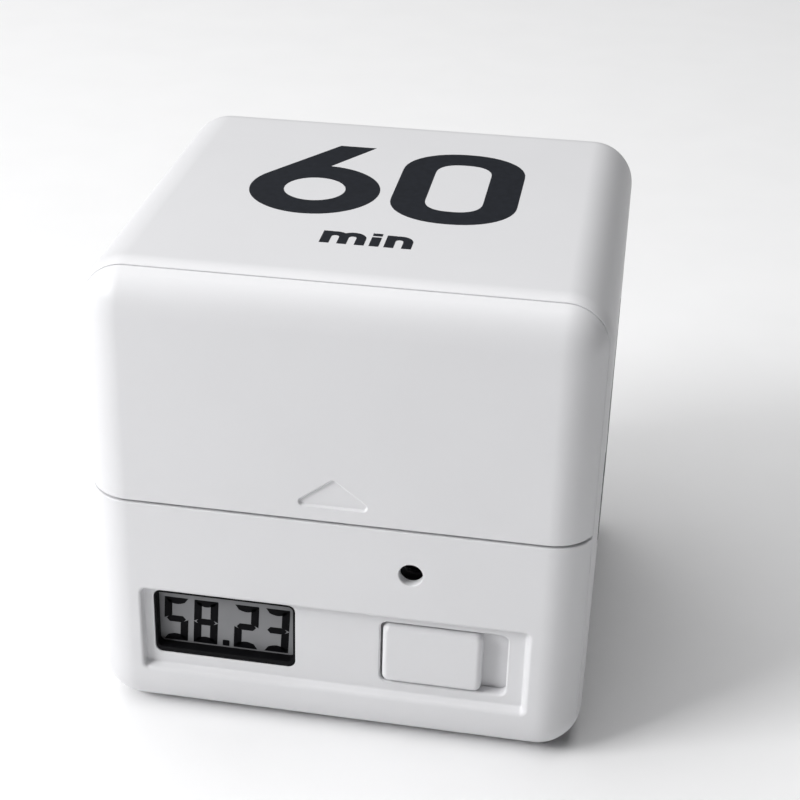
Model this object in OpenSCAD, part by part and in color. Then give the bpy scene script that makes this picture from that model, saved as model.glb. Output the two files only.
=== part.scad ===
// Cube timer that counts down the minutes printed on whichever number face is turned up.
// Front face looks along -Y, +Z is up, the origin is the centre of the lowest face.

/* [Body] */
// Width and height of the cube; the four number faces share it
body_w = 63.5; // [63.5:0.5:66]
// Depth of the cube from front to back
body_d = 61; // [61:0.5:64]
// Radius of every outer edge and corner
edge_r = 5.75; // [5.5:0.05:6]
// Wall thickness of the main shell
wall = 2; // [1.9:0.05:2.1]
// Wall thickness of the door and the front panel
cover_wall = 1.8; // [1.7:0.05:1.9]

/* [Front] */
// Depth of the door and the front panel, from the front face to their seam
cap_depth = 3.5; // [3.4:0.05:3.6]
// Width of the seam round the front covers
seam_gap = 0.15; // [0.1:0.05:0.2]
// Height of the seam between the door and the front panel
door_seam_z = 32.4; // [32.3:0.05:32.6]
// Width of the seam between the door and the front panel
door_gap = 0.35; // [0.2:0.05:0.4]
// Depth of the triangle that marks the door
mark_depth = 0.35; // [0.2:0.05:0.6]

/* [Pocket] */
// Half width of the shallow pocket round the display and the switch
pocket_half_w = 24.8; // [24.6:0.1:25]
// Bottom edge of the pocket
pocket_z0 = 7; // [6.8:0.1:7.1]
// Top edge of the pocket
pocket_z1 = 19.5; // [19.4:0.1:19.8]
// Depth of the pocket
pocket_depth = 1.2; // [1:0.1:1.3]
// How far the pocket's walls lean in over their depth
pocket_draft = 0.45; // [0.2:0.05:0.6]

/* [Display] */
// Width of the display window
window_w = 18.6; // [18:0.1:18.8]
// Height of the display window
window_h = 9.6; // [9.4:0.1:9.7]
// Corner radius of the display window
window_r = 1; // [0.6:0.1:1.1]
// Wall of the black bezel inside the window
bezel_wall = 0.3; // [0.25:0.05:0.4]
// Wall of the bezel along the bottom of the window
bezel_foot = 0.8; // [0.6:0.1:0.9]

/* [Switch] */
// Width of the switch knob
knob_w = 12.65; // [12.4:0.05:12.7]
// Height of the switch knob
knob_h = 8.65; // [8.4:0.05:8.7]
// How far the knob stands out of the pocket's floor
knob_proud = 0.45; // [0.2:0.05:0.6]
// Travel of the switch between its two stops
switch_travel = 3; // [2.8:0.1:3]

/* [Sound] */
// Radius of the round sound hole
sound_r = 1.5; // [1.4:0.1:1.8]
// Wall left around the sound hole
sound_wall = 1.25; // [1.1:0.05:1.5]
// Radius of the buzzer
buzzer_r = 4.5; // [4:0.1:4.5]

/* [Cells] */
// Radius of an AAA cell
cell_r = 5.2; // [5:0.05:5.25]
// Length of an AAA cell over its positive cap
cell_len = 44.5; // [44:0.1:44.5]
// Distance between the axes of the two cells
cell_pitch = 11.6; // [11.4:0.1:11.6]

/* [Tilt switches] */
// Outer radius of a tilt switch's can
can_r = 2.5; // [2.4:0.1:2.6]
// Radius of the ball inside it
ball_r = 2; // [1.8:0.1:2]

/* [Hidden] */
$fn = 64;

white = "ghostwhite";
inner_white = "gainsboro";
black = "dimgray";
steel = "silver";

// Planes of the front, from the front face back
front_y = -body_d / 2;
seam_y = front_y + cap_depth;
cover_inner_y = front_y + cover_wall;
pocket_y = front_y + pocket_depth;
pocket_back_y = pocket_y + 1.5;
shell_inner = body_w / 2 - wall;
middle_z = body_w / 2;

// Fit between parts of one body that are fastened together
fit = 0.2;

// Battery tray
tray_y = seam_y + 0.1;
tray_t = 2.2;
tray_back_y = tray_y + tray_t;
tray_lower_z = 32;
bay_half = 24.5;
bay_wall = 1;
bay_r = cell_r + 0.25;
bay_z = 46.1;
cell_y = tray_y + 0.2 + cell_r + 0.05;
bay_floor_y = cell_y + bay_r + 1.3;
cell_zs = [bay_z - cell_pitch / 2, bay_z + cell_pitch / 2];
bay_z0 = cell_zs[0] - bay_r - bay_wall;
bay_z1 = cell_zs[1] + bay_r + bay_wall;

// Rails that the door slides on
rail_x0 = 24.9;
rail_z0 = 39.5;
rail_z1 = 54.5;
rail_web = 0.8;
rail_reach = 2.5;
rail_front_y = tray_y - 1.3;
rail_back_y = tray_y - 0.9;
lip_x = rail_x0 + rail_web + 0.4;
lip_front_y = rail_back_y + 0.15;
lip_back_y = seam_y - 0.1;
lip_z0 = 34;
lip_z1 = 56;

// Screws: pan heads of two sizes of self-tapping screw
screw_r = 0.95;
pilot_r = 1;
head_r = 1.75;
head_h = 1.2;
tray_screw_at = [for (x = [-27.3, 27.3], z = [36.5, 57.5]) [x, z]];
tray_screw_l = 8;
tray_head_y = tray_y + 0.1;
boss_r = 1.75;
boss_l = 10;
board_screw_at = [[-26, 28.5], [26, 28.5], [26, 5.7], [-0.4, 5.7]];
board_screw_l = 6;
post_r = 2.1;
panel_screw_at = [for (x = [-20, 20]) [x, 29.2]];
panel_screw_l = 4;

// Circuit board
board_y = front_y + 9;
board_t = 1.5;
board_back_y = board_y + board_t;
board_half = 28;
board_z0 = 3.6;
board_z1 = 31.2;

// Display, seen from the front
window_x0 = -23.55;
window_z0 = 9.05;
window_x = window_x0 + window_w / 2;
window_z = window_z0 + window_h / 2;
glass_y = pocket_back_y + 0.02;
glass_t = 1.1;
glass_w = 20.6;
glass_z0 = 6.6;
glass_z1 = 20;
glass_ledge = 2.3;
flange_recess = 0.3;
holder_wall = 0.75;
zebra_w = 19;

// Switch
slot_x0 = 6.05;
slot_z0 = 8.75;
slot_gap = 0.3;
slot_w = knob_w + switch_travel + slot_gap + 0.15;
slot_h = knob_h + 0.5;
slot_r = 0.9;
knob_x = slot_x0 + slot_gap + knob_w / 2;
knob_z = slot_z0 + slot_h / 2;
knob_front_y = pocket_y - knob_proud;
flange_front_y = pocket_back_y + 0.1;
flange_t = 1.2;
flange_x0 = slot_x0 - 3.65;
flange_x1 = slot_x0 + slot_w + 1.25;
flange_h = slot_h + 1.6;
case_w = 12;
case_h = 6.4;
case_wall = 0.4;
case_x = knob_x + switch_travel / 2;
case_front_y = board_y - 4.4;
case_back_y = board_y - 0.4;
slider_block = 6.4;
stem_w = 4;
stem_h = 3;
stem_tip_y = flange_front_y - 0.6;
switch_pins = [for (x = [-4, 0, 4], z = [-2.2, 2.2]) [case_x + x, knob_z + z]];

// Buzzer
sound_x = 9.8;
sound_z = 26.15;
buzzer_front_y = cover_inner_y + 0.7;
buzzer_base_y = board_y - 0.5;
buzzer_pins = [for (x = [-2.5, 2.5]) [sound_x + x, sound_z]];

// Tilt switches, one leaning each way
can_l = 9;
can_wall = 0.4;
base_t = 2;
tilt_y = board_back_y + can_r + 0.3;
tilt_zs = [22, 22.5];
tilt_xs = [-2, 19.5];
tilt_lean = [45, -45];
ball_start = 0.65;
lead_r = 0.25;
lead_run = 1.6;
lead_spacing = 1.2;
pin_r = 0.35;
pin_hole_r = 0.45;
pin_back_y = board_back_y + 1;

// Contacts and springs of the cells
plate_t = 0.3;
plate_w = 7.6;
dimple_h = 0.6;
cap_h = 1;
cap_r = 1.9;
spring_wire = 0.25;
spring_turns = 3.5;
spring_base_r = 3.4;
spring_tip_r = 2.3;
spring_len = 2 * bay_half - 2 * plate_t - dimple_h - cell_len;
tab_w = 2.4;
tab_l = 3;
wire_r = 0.6;

// Distance of point i of a ring of n points from its own angle
function ring_angle(i, n) = 360 * i / n;

// Unit vector
function unit(v) = v / norm(v);

// Point at t from 0 to 1 on the Catmull-Rom curve through p1 and p2
function curve_point(p0, p1, p2, p3, t) =
  0.5 * (2 * p1 + (p2 - p0) * t + (2 * p0 - 5 * p1 + 4 * p2 - p3) * t * t
  + (3 * p1 - p0 - 3 * p2 + p3) * t * t * t);

// Smooth route through a list of points, steps points to each stretch
function smooth_route(p, steps) = concat(
  [for (i = [0 : len(p) - 2], s = [0 : steps - 1])
    curve_point(p[max(i - 1, 0)], p[i], p[i + 1], p[min(i + 2, len(p) - 1)], s / steps)],
  [p[len(p) - 1]]);

// Tube of radius r swept along a route; side is a direction that the route never follows
module tube(route, r, sides, side) {
  last = len(route) - 1;
  points = [for (i = [0 : last])
    let (ahead = unit(route[min(i + 1, last)] - route[max(i - 1, 0)]),
      u = unit(cross(ahead, side)), v = cross(ahead, u))
    for (k = [0 : sides - 1])
      route[i] + r * (cos(ring_angle(k, sides)) * u + sin(ring_angle(k, sides)) * v)];
  faces = concat(
    [[for (k = [0 : sides - 1]) k]],
    [[for (k = [sides - 1 : -1 : 0]) last * sides + k]],
    [for (i = [0 : last - 1], k = [0 : sides - 1])
      [i * sides + k, (i + 1) * sides + k, (i + 1) * sides + (k + 1) % sides, i * sides + (k + 1) % sides]]);
  polyhedron(points, faces, convexity = 6);
}

// Rod along +Y from y0 to y1 at x, z
module rod_y(x, z, r, y0, y1) {
  translate([x, y0, z]) rotate([-90, 0, 0]) cylinder(r = r, h = y1 - y0);
}

// Block given by its lowest and highest corners
module block(low, high) {
  translate(low) cube(high - low);
}

// Quarter of a rod, in the first quadrant, along +Z
module quarter_rod(r, l) {
  intersection() {
    cylinder(r = r, h = l);
    cube([r + 1, r + 1, l]);
  }
}

// Eighth of a rounded block: three slabs, three quarter rods and an eighth of a ball
module rounded_eighth(w, d, h, r) {
  cx = w / 2 - r;
  cy = d / 2 - r;
  cz = h / 2 - r;
  cube([w / 2, cy, cz]);
  cube([cx, d / 2, cz]);
  cube([cx, cy, h / 2]);
  translate([cx, cy, 0]) quarter_rod(r, cz);
  translate([0, cy, cz]) rotate([90, 0, 90]) quarter_rod(r, cx);
  translate([cx, 0, cz]) rotate([90, -90, 180]) quarter_rod(r, cy);
  translate([cx, cy, cz]) intersection() {
    sphere(r = r);
    cube([r + 1, r + 1, r + 1]);
  }
}

// The cube's outer shape, drawn in by inset all round, with its front moved forward by stretch
module cube_form(inset, stretch = 0) {
  w = body_w - 2 * inset;
  d = body_d - 2 * inset;
  translate([0, 0, middle_z])
    for (x = [0, 1], y = [0, 1], z = [0, 1])
      mirror([x, 0, 0]) mirror([0, y, 0]) mirror([0, 0, z])
        rounded_eighth(w, d + 2 * y * stretch, w, edge_r - inset);
}

// Straight column with the cube's outline from the front, drawn in by inset
module core(inset, y0, y1) {
  w = body_w - 2 * inset;
  rounded_plate(0, middle_z, w, w, edge_r - inset, y0, y1);
}

// The part of the space between two depths and two heights, right across the cube
module slice(y0, y1, z0, z1) {
  block([-body_w, y0, z0], [body_w, y1, z1]);
}

// Rectangular plate with rounded corners, from y0 to y1
module rounded_plate(x, z, w, h, r, y0, y1) {
  block([x - w / 2 + r, y0, z - h / 2], [x + w / 2 - r, y1, z + h / 2]);
  block([x - w / 2, y0, z - h / 2 + r], [x + w / 2, y1, z + h / 2 - r]);
  for (sx = [-1, 1], sz = [-1, 1])
    rod_y(x + sx * (w / 2 - r), z + sz * (h / 2 - r), r, y0, y1);
}

// Triangle with rounded corners, point up, centred on x
module rounded_triangle(x, z, half_w, h, r, y0, y1) {
  steps = 8;
  slope = atan2(half_w, h);
  corners = [[-half_w, 0], [half_w, 0], [0, h]];
  turns = [[180 - slope, 270], [-90, slope], [slope, 180 - slope]];
  translate([x, y1, z]) rotate([90, 0, 0]) linear_extrude(y1 - y0)
    polygon([for (i = [0 : 2], k = [0 : steps])
      let (a = turns[i][0] + (turns[i][1] - turns[i][0]) * k / steps)
      corners[i] + r * [cos(a), sin(a)]]);
}

// Pan-head screw with a cross recess, its head's top at y, pointing along +Y or, turned, along -Y
module screw(x, y, z, l, way) {
  translate([x, y, z]) rotate([way > 0 ? -90 : 90, 0, 0])
    difference() {
      union() {
        cylinder(r = head_r, h = head_h);
        cylinder(r = screw_r, h = head_h + l);
      }
      for (turn = [0, 90]) rotate([0, 0, turn]) translate([-1, -0.2, -0.1]) cube([2, 0.4, 0.7]);
    }
}

// Five-sided shell, open at the front
module main_shell() {
  color(white) difference() {
    union() {
      difference() {
        cube_form(0);
        cube_form(wall, 2 * edge_r);
      }
      for (p = tray_screw_at) {
        rod_y(p[0], p[1], boss_r, tray_back_y, tray_back_y + boss_l);
        boss_web(p[0], p[1]);
      }
    }
    slice(front_y - 1, seam_y + seam_gap / 2, -1, body_w + 1);
    for (p = tray_screw_at) rod_y(p[0], p[1], pilot_r, tray_back_y - 1, tray_back_y + boss_l - 1);
    for (side = [-1, 1]) hook_seat(side);
  }
}

// Web that ties a screw boss to the side wall
module boss_web(x, z) {
  side = sign(x);
  reach = shell_inner + wall / 2;
  block([min(x, side * reach), tray_back_y, z - 1.1], [max(x, side * reach), tray_back_y + boss_l, z + 1.1]);
}

// Seats in the lower wall for the panel's hooks
module hook_seat(side) {
  x = side * 15;
  block([x - 2.8, seam_y + 2.6, wall - 0.9], [x + 2.8, seam_y + 4.6, wall + 0.1]);
}

// Lower front cover with the pocket, the display window, the switch slot and the sound hole
module front_panel() {
  color(white) difference() {
    union() {
      difference() {
        intersection() {
          cube_form(0);
          slice(front_y - 1, seam_y - seam_gap / 2, -1, door_seam_z - door_gap / 2);
        }
        cube_form(cover_wall);
      }
      intersection() {
        cube_form(1);
        panel_inside();
      }
      difference() {
        core(wall + fit, seam_y - 0.5, seam_y + 1.4);
        core(wall + fit + 1, seam_y - 1, seam_y + 2);
        slice(seam_y - 1, seam_y + 2, 31.5, body_w);
      }
      for (side = [-1, 1]) panel_hook(side);
    }
    pocket();
    rounded_plate(window_x, window_z, window_w, window_h, window_r, front_y, tray_y);
    rounded_plate(window_x, window_z, window_w + 1.8, window_h + 1.8, 0.5,
      pocket_back_y - flange_recess, board_y);
    rounded_plate(slot_x0 + slot_w / 2, knob_z, slot_w, slot_h, slot_r, front_y, tray_y);
    rod_y(sound_x, sound_z, sound_r, front_y - 1, cover_inner_y + 1);
    rod_y(sound_x, sound_z, sound_r + 0.8, front_y + sound_wall, cover_inner_y + 1);
    for (p = board_screw_at) rod_y(p[0], p[1], pilot_r, board_y - board_screw_l, board_y + 1);
    for (p = panel_screw_at) rod_y(p[0], p[1], pilot_r, front_y + 1.2, tray_y + 1);
  }
}

// Everything behind the panel's outer wall
module panel_inside() {
  // Thicker wall behind the pocket
  block([-26, cover_inner_y - 0.5, 5.6], [26.2, pocket_back_y, 20.9]);
  // Rim that carries the locating lip
  difference() {
    slice(seam_y - 1.3, seam_y - seam_gap / 2, -1, 31.5);
    core(wall + fit + 1, seam_y - 2, seam_y + 1);
  }
  // Upper wall, and the tongue behind the door's lower edge
  slice(cover_inner_y - 0.5, seam_y - 0.2, door_seam_z - 1.6, door_seam_z - door_gap / 2);
  block([-24, cover_inner_y + 0.25, door_seam_z - 1], [24, seam_y - 0.3, door_seam_z + 1.4]);
  // Guides above and below the switch flange
  for (side = [-1, 1])
    translate([0, 0, knob_z + side * (flange_h / 2 + 0.5)])
      block([1.5, pocket_back_y - 0.5, -0.3], [27.5, flange_front_y + flange_t, 0.3]);
  for (p = board_screw_at) rod_y(p[0], p[1], post_r, cover_inner_y - 0.5, board_y);
  for (p = panel_screw_at) rod_y(p[0], p[1], post_r, cover_inner_y - 0.5, tray_y - 0.05);
}

// Hook that clips the panel to the shell's lower wall
module panel_hook(side) {
  x = side * 15;
  z = wall + 0.25;
  block([x - 2.5, seam_y - 1, z], [x + 2.5, seam_y + 4.2, z + 1.2]);
  block([x - 2.5, seam_y + 3, z - 1], [x + 2.5, seam_y + 4.2, z + 0.1]);
}

// Shallow pocket: two crossing prisms with leaning walls
module pocket() {
  proud = pocket_draft / pocket_depth;
  intersection() {
    translate([0, 0, pocket_z0 - 1]) linear_extrude(pocket_z1 - pocket_z0 + 2)
      polygon([for (s = [-1, 1], k = [0, 1])
        let (deep = (s > 0) == (k > 0))
        [s * (pocket_half_w + (deep ? proud : -pocket_draft)), deep ? front_y - 1 : pocket_y]]);
    translate([-pocket_half_w - 2, 0, 0]) rotate([90, 0, 90]) linear_extrude(2 * pocket_half_w + 4)
      polygon([[front_y - 1, pocket_z0 - proud], [front_y - 1, pocket_z1 + proud],
        [pocket_y, pocket_z1 - pocket_draft], [pocket_y, pocket_z0 + pocket_draft]]);
  }
}

// Upper front cover that slides up and off; its lips run behind the tray's rails
module battery_door() {
  color(white) difference() {
    union() {
      difference() {
        door_form(0);
        cube_form(cover_wall);
      }
      intersection() {
        cube_form(1);
        for (side = [-1, 1]) door_lip(side);
      }
      for (x = [-12, 0, 12])
        block([x - 0.5, cover_inner_y - 0.5, lip_z0], [x + 0.5, cover_inner_y + 0.7, lip_z1]);
    }
    rounded_triangle(0, 35.1, 3.7, 2.8, 0.6, front_y - 1, front_y + mark_depth);
  }
}

// The front slice of the cube above the door seam
module door_form(inset) {
  intersection() {
    cube_form(inset);
    slice(front_y - 1, seam_y - seam_gap / 2, door_seam_z + door_gap / 2, body_w + 1);
  }
}

// Lip along one side of the door
module door_lip(side) {
  block([min(side * lip_x, side * body_w / 2), lip_front_y, lip_z0],
    [max(side * lip_x, side * body_w / 2), lip_back_y, lip_z1]);
}

// Frame behind the door with the bay for two cells and the rails
module battery_tray() {
  color(inner_white) difference() {
    union() {
      difference() {
        core(wall + fit, tray_y, tray_back_y);
        slice(front_y, 0, -1, tray_lower_z);
      }
      block([-bay_half - bay_wall, tray_back_y - 0.5, bay_z0], [bay_half + bay_wall, bay_floor_y, bay_z1]);
      for (p = panel_screw_at)
        block([p[0] - 2.5, tray_y, p[1] - 2.2], [p[0] + 2.5, tray_back_y - 0.4, tray_lower_z + 1]);
      for (side = [-1, 1]) mirror([side > 0 ? 0 : 1, 0, 0]) rail();
    }
    for (z = cell_zs) {
      translate([-bay_half, cell_y, z]) rotate([0, 90, 0]) cylinder(r = bay_r, h = 2 * bay_half);
    }
    block([-bay_half, tray_y - 1, cell_zs[0] - bay_r], [bay_half, cell_y, cell_zs[1] + bay_r]);
    for (p = tray_screw_at) {
      rod_y(p[0], p[1], screw_r + 0.15, tray_y - 1, tray_back_y + 1);
      rod_y(p[0], p[1], head_r + 0.1, tray_y - 1, tray_head_y + head_h);
    }
    for (p = panel_screw_at) rod_y(p[0], p[1], screw_r + 0.15, tray_y - 1, tray_back_y + 1);
    // Slots for the solder tabs of the two outer contacts
    for (z = cell_zs)
      block([-bay_half, cell_y, z - tab_w / 2 - 0.2],
        [-bay_half + plate_t + 0.3, bay_floor_y + 1, z + tab_w / 2 + 0.2]);
  }
}

// Rail at the right of the bay: a web and a flange that points outwards
module rail() {
  block([rail_x0, rail_front_y, rail_z0], [rail_x0 + rail_web, tray_y + 0.5, rail_z1]);
  block([rail_x0, rail_front_y, rail_z0], [rail_x0 + rail_reach, rail_back_y, rail_z1]);
}

// Four screws, sunk in the tray's corners, that hold the front assembly in the shell
module tray_screws() {
  color(steel) for (p = tray_screw_at) screw(p[0], tray_head_y, p[1], tray_screw_l, 1);
}

// Two screws that join the tray to the front panel from behind
module panel_screws() {
  color(steel) for (p = panel_screw_at)
    screw(p[0], tray_back_y - 0.4 + head_h, p[1], panel_screw_l, -1);
}

// Board behind the front panel, drilled for its screws and its through-hole parts
module circuit_board() {
  color("seagreen") difference() {
    intersection() {
      block([-board_half, board_y, board_z0], [board_half, board_back_y, board_z1]);
      core(wall + 2 * fit, board_y, board_back_y);
    }
    for (p = board_screw_at) rod_y(p[0], p[1], screw_r + 0.15, board_y - 1, board_back_y + 1);
    for (p = concat(switch_pins, buzzer_pins)) rod_y(p[0], p[1], pin_hole_r, board_y - 1, board_back_y + 1);
  }
}

// Four screws that hold the board on the panel's posts
module board_screws() {
  color(steel) for (p = board_screw_at)
    screw(p[0], board_back_y + head_h, p[1], board_screw_l, -1);
}

// Black bezel that lines the window, with a thin flange behind the panel
module lcd_bezel() {
  color(black) difference() {
    union() {
      rounded_plate(window_x, window_z, window_w - 0.1, window_h - 0.1, window_r - 0.05,
        pocket_y + 0.05, glass_y - 0.05);
      rounded_plate(window_x, window_z, window_w + 1.5, window_h + 1.5, 0.5,
        pocket_back_y - flange_recess + 0.02, glass_y - 0.02);
    }
    rounded_plate(window_x, window_z + (bezel_foot - bezel_wall) / 2, window_w - 2 * bezel_wall,
      window_h - bezel_wall - bezel_foot, window_r - bezel_wall, front_y, board_y);
  }
}

// Frame that holds the display's glass behind the window
module lcd_holder() {
  x0 = window_x - glass_w / 2 - fit / 2;
  x1 = window_x + glass_w / 2 + fit / 2;
  back_y = glass_y + 2 * glass_t + 0.25;
  color(black) difference() {
    block([x0 - holder_wall, pocket_back_y + 0.05, glass_z0 - 0.1 - holder_wall],
      [x1 + holder_wall, board_y - 0.05, glass_z1 + 0.1 + holder_wall]);
    block([x0, front_y, glass_z0 - 0.1], [x1, back_y, glass_z1 + 0.1]);
    block([x0, front_y, glass_z0 - 0.1], [x1, board_y, glass_z0 + glass_ledge - 0.1]);
    block([x0 + 1, back_y + 1.2, glass_z0 + glass_ledge + 0.9], [x1 - 1, board_y, glass_z1 - 0.9]);
  }
}

// Front glass plate; its lower edge is the ledge with the conductors
module lcd_front_glass() {
  color("lightsteelblue", 0.6)
    block([window_x - glass_w / 2, glass_y, glass_z0],
      [window_x + glass_w / 2, glass_y + glass_t, glass_z1]);
}

// Rear glass plate
module lcd_rear_glass() {
  color("slategray", 0.8)
    block([window_x - glass_w / 2, glass_y + glass_t + 0.01, glass_z0 + glass_ledge],
      [window_x + glass_w / 2, glass_y + 2 * glass_t, glass_z1]);
}

// Reflecting film on the back of the display
module lcd_reflector() {
  y = glass_y + 2 * glass_t + 0.02;
  color("lightgray")
    block([window_x - glass_w / 2 + 0.5, y, glass_z0 + glass_ledge + 0.3],
      [window_x + glass_w / 2 - 0.5, y + 0.15, glass_z1 - 0.3]);
}

// Rubber strip with conducting layers between the glass ledge and the board
module zebra_strip() {
  color("hotpink")
    block([window_x - zebra_w / 2, glass_y + glass_t + 0.01, glass_z0 + 0.1],
      [window_x + zebra_w / 2, board_y - 0.01, glass_z0 + glass_ledge - 0.3]);
}

// Knob in the slot, with rounded front edges and the flange that closes the slot behind
module switch_knob() {
  r = 0.8;
  color(white) difference() {
    union() {
      knob_block(r);
      block([flange_x0, flange_front_y, knob_z - flange_h / 2],
        [flange_x1, flange_front_y + flange_t, knob_z + flange_h / 2]);
    }
    block([knob_x - stem_w / 2 - 0.02, stem_tip_y - 0.05, knob_z - stem_h / 2 - 0.02],
      [knob_x + stem_w / 2 + 0.02, board_y, knob_z + stem_h / 2 + 0.02]);
  }
}

// Knob's block: front edges rounded by crossing two prisms with round shoulders
module knob_block(r) {
  l = flange_front_y + 0.5 - knob_front_y;
  translate([knob_x, knob_front_y, knob_z]) intersection() {
    shoulder_prism(knob_w, knob_h, l, r);
    rotate([0, 90, 0]) shoulder_prism(knob_h, knob_w, l, r);
    rounded_plate(0, 0, knob_w, knob_h, r, 0, l);
  }
}

// Prism along Z, w across, with its two front edges rounded and its front at y = 0
module shoulder_prism(w, h, l, r) {
  block([-w / 2 + r, 0, -h / 2], [w / 2 - r, l, h / 2]);
  block([-w / 2, r, -h / 2], [w / 2, l, h / 2]);
  for (s = [-1, 1]) translate([s * (w / 2 - r), r, -h / 2]) cylinder(r = r, h = h);
}

// Slider of the switch: a block in the case and a stem into the knob
module switch_slider() {
  color(black) {
    block([knob_x - stem_w / 2, stem_tip_y, knob_z - stem_h / 2],
      [knob_x + stem_w / 2, case_front_y + 1, knob_z + stem_h / 2]);
    block([knob_x - slider_block / 2, case_front_y + 0.6, knob_z - 2.2],
      [knob_x + slider_block / 2, case_back_y - 0.7, knob_z + 2.2]);
  }
}

// Folded steel case of the switch
module switch_case() {
  color(steel) difference() {
    block([case_x - case_w / 2, case_front_y, knob_z - case_h / 2],
      [case_x + case_w / 2, case_back_y, knob_z + case_h / 2]);
    block([case_x - case_w / 2 + case_wall, case_front_y + case_wall, knob_z - case_h / 2 + case_wall],
      [case_x + case_w / 2 - case_wall, case_back_y + 1, knob_z + case_h / 2 - case_wall]);
    block([knob_x - stem_w / 2 - 0.3, case_front_y - 1, knob_z - stem_h / 2 - 0.2],
      [knob_x + stem_w / 2 + switch_travel + 0.3, case_front_y + 1, knob_z + stem_h / 2 + 0.2]);
  }
}

// Base of the switch with its six pins
module switch_base() {
  color("saddlebrown")
    block([case_x - case_w / 2, case_back_y, knob_z - case_h / 2],
      [case_x + case_w / 2, board_y, knob_z + case_h / 2]);
  color(steel) for (p = switch_pins) rod_y(p[0], p[1], pin_r, case_back_y - 0.3, pin_back_y);
}

// Round case of the buzzer with its sound port
module buzzer_case() {
  color(black) difference() {
    rod_y(sound_x, sound_z, buzzer_r, buzzer_front_y, buzzer_base_y);
    rod_y(sound_x, sound_z, buzzer_r - 0.6, buzzer_front_y + 0.7, board_y);
    rod_y(sound_x, sound_z, 1.25, buzzer_front_y - 1, board_y);
  }
}

// Base disc of the buzzer with its two pins
module buzzer_base() {
  color(black) rod_y(sound_x, sound_z, buzzer_r, buzzer_base_y, board_y);
  color(steel) for (p = buzzer_pins) rod_y(p[0], p[1], pin_r, board_y - 0.2, pin_back_y);
}

// Steel disc that the coil pulls
module buzzer_diaphragm() {
  color(steel) rod_y(sound_x, sound_z, buzzer_r - 0.7, buzzer_front_y + 1.6, buzzer_front_y + 1.8);
}

// Ring magnet round the coil
module buzzer_magnet() {
  color("slategray") difference() {
    rod_y(sound_x, sound_z, buzzer_r - 0.7, buzzer_front_y + 2.2, buzzer_base_y);
    rod_y(sound_x, sound_z, 2.7, buzzer_front_y + 1, board_y);
  }
}

// Coil on its iron core
module buzzer_coil() {
  color("peru") difference() {
    rod_y(sound_x, sound_z, 2.5, buzzer_front_y + 3, buzzer_base_y);
    rod_y(sound_x, sound_z, 1.2, buzzer_front_y + 2, board_y);
  }
  color(steel) rod_y(sound_x, sound_z, 1.2, buzzer_front_y + 2.3, buzzer_base_y);
}

// Foam ring that seals the buzzer to the sound hole
module buzzer_gasket() {
  color(black) difference() {
    rod_y(sound_x, sound_z, buzzer_r - 0.5, cover_inner_y + 0.01, buzzer_front_y - 0.01);
    rod_y(sound_x, sound_z, 2.2, cover_inner_y - 1, buzzer_front_y + 1);
  }
}

// Controller under its round drop of resin, a cap of a ball
module controller_chip() {
  r = 5;
  h = 1.1;
  ball = (r * r + h * h) / (2 * h);
  color(black) intersection() {
    translate([-15, board_back_y - ball + h, 16]) sphere(r = ball, $fn = 240);
    block([-15 - 2 * r, board_back_y, 16 - 2 * r], [-15 + 2 * r, board_back_y + 2 * h, 16 + 2 * r]);
  }
}

// Can of the clock crystal, lying on the board
module clock_crystal() {
  color(steel) translate([-24, board_back_y + 1.05, 25]) rotate([0, 90, 0]) cylinder(r = 1, h = 6);
}

// Upright electrolytic capacitor
module capacitor() {
  color("midnightblue") rod_y(-22.5, 10.8, 2.5, board_back_y, board_back_y + 5);
}

// Row of small resistors and capacitors, and a transistor beside the buzzer
module chip_parts() {
  color("tan") for (i = [0 : 4])
    block([-24 + 4 * i, board_back_y, 5], [-22 + 4 * i, board_back_y + 0.6, 6.2]);
  color("dimgray") block([5.5, board_back_y, 19], [8.5, board_back_y + 1.1, 20.5]);
}

// Places what is drawn along +Z into the middle of tilt switch i, leaning in the plane of the board
module tilt_place(i) {
  translate([tilt_xs[i], tilt_y, tilt_zs[i]]) rotate([0, tilt_lean[i], 0])
    translate([0, 0, -can_l / 2]) children();
}

// Can of a tilt switch, open at its base end
module tilt_can(i) {
  color(steel) tilt_place(i) difference() {
    cylinder(r = can_r, h = can_l);
    translate([0, 0, -1]) cylinder(r = can_r - can_wall, h = can_l - can_wall + 1);
  }
}

// Base of a tilt switch and its two leads, which bend to the board
module tilt_base(i) {
  turn = tilt_lean[i];
  color(black) tilt_place(i) translate([0, 0, -base_t]) cylinder(r = can_r, h = base_t - 0.01);
  for (s = [-1, 1]) color(steel) tilt_place(i) {
    translate([s * lead_spacing, 0, -base_t - lead_run]) cylinder(r = lead_r, h = lead_run + base_t + 0.5);
    translate([s * lead_spacing, 0, -base_t - lead_run]) sphere(r = lead_r);
    translate([s * lead_spacing, 0, -base_t - lead_run]) rotate([90, 0, 0])
      cylinder(r = lead_r, h = tilt_y - board_back_y - 0.01);
  }
}

// Ball that rolls along the can and bridges the leads
module tilt_ball(i) {
  color("gold") tilt_place(i) translate([0, 0, ball_start + ball_r]) sphere(r = ball_r);
}

// Cell along X with its flat end at x = 0 and its cap's tip at cell_len, in two pieces
module cell_body() {
  color("darkorange") difference() {
    rotate([0, 90, 0]) cylinder(r = cell_r, h = cell_len - cap_h);
    translate([cell_len - cap_h - 0.4, 0, 0]) rotate([0, 90, 0]) cylinder(r = cap_r + 0.8, h = 1);
  }
}

// Positive cap, seated in the end of the cell
module cell_cap() {
  color(steel) {
    translate([cell_len - cap_h - 0.39, 0, 0]) rotate([0, 90, 0]) cylinder(r = cap_r + 0.75, h = 0.3);
    translate([cell_len - cap_h - 0.2, 0, 0]) rotate([0, 90, 0]) cylinder(r = cap_r, h = cap_h + 0.2);
  }
}

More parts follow.
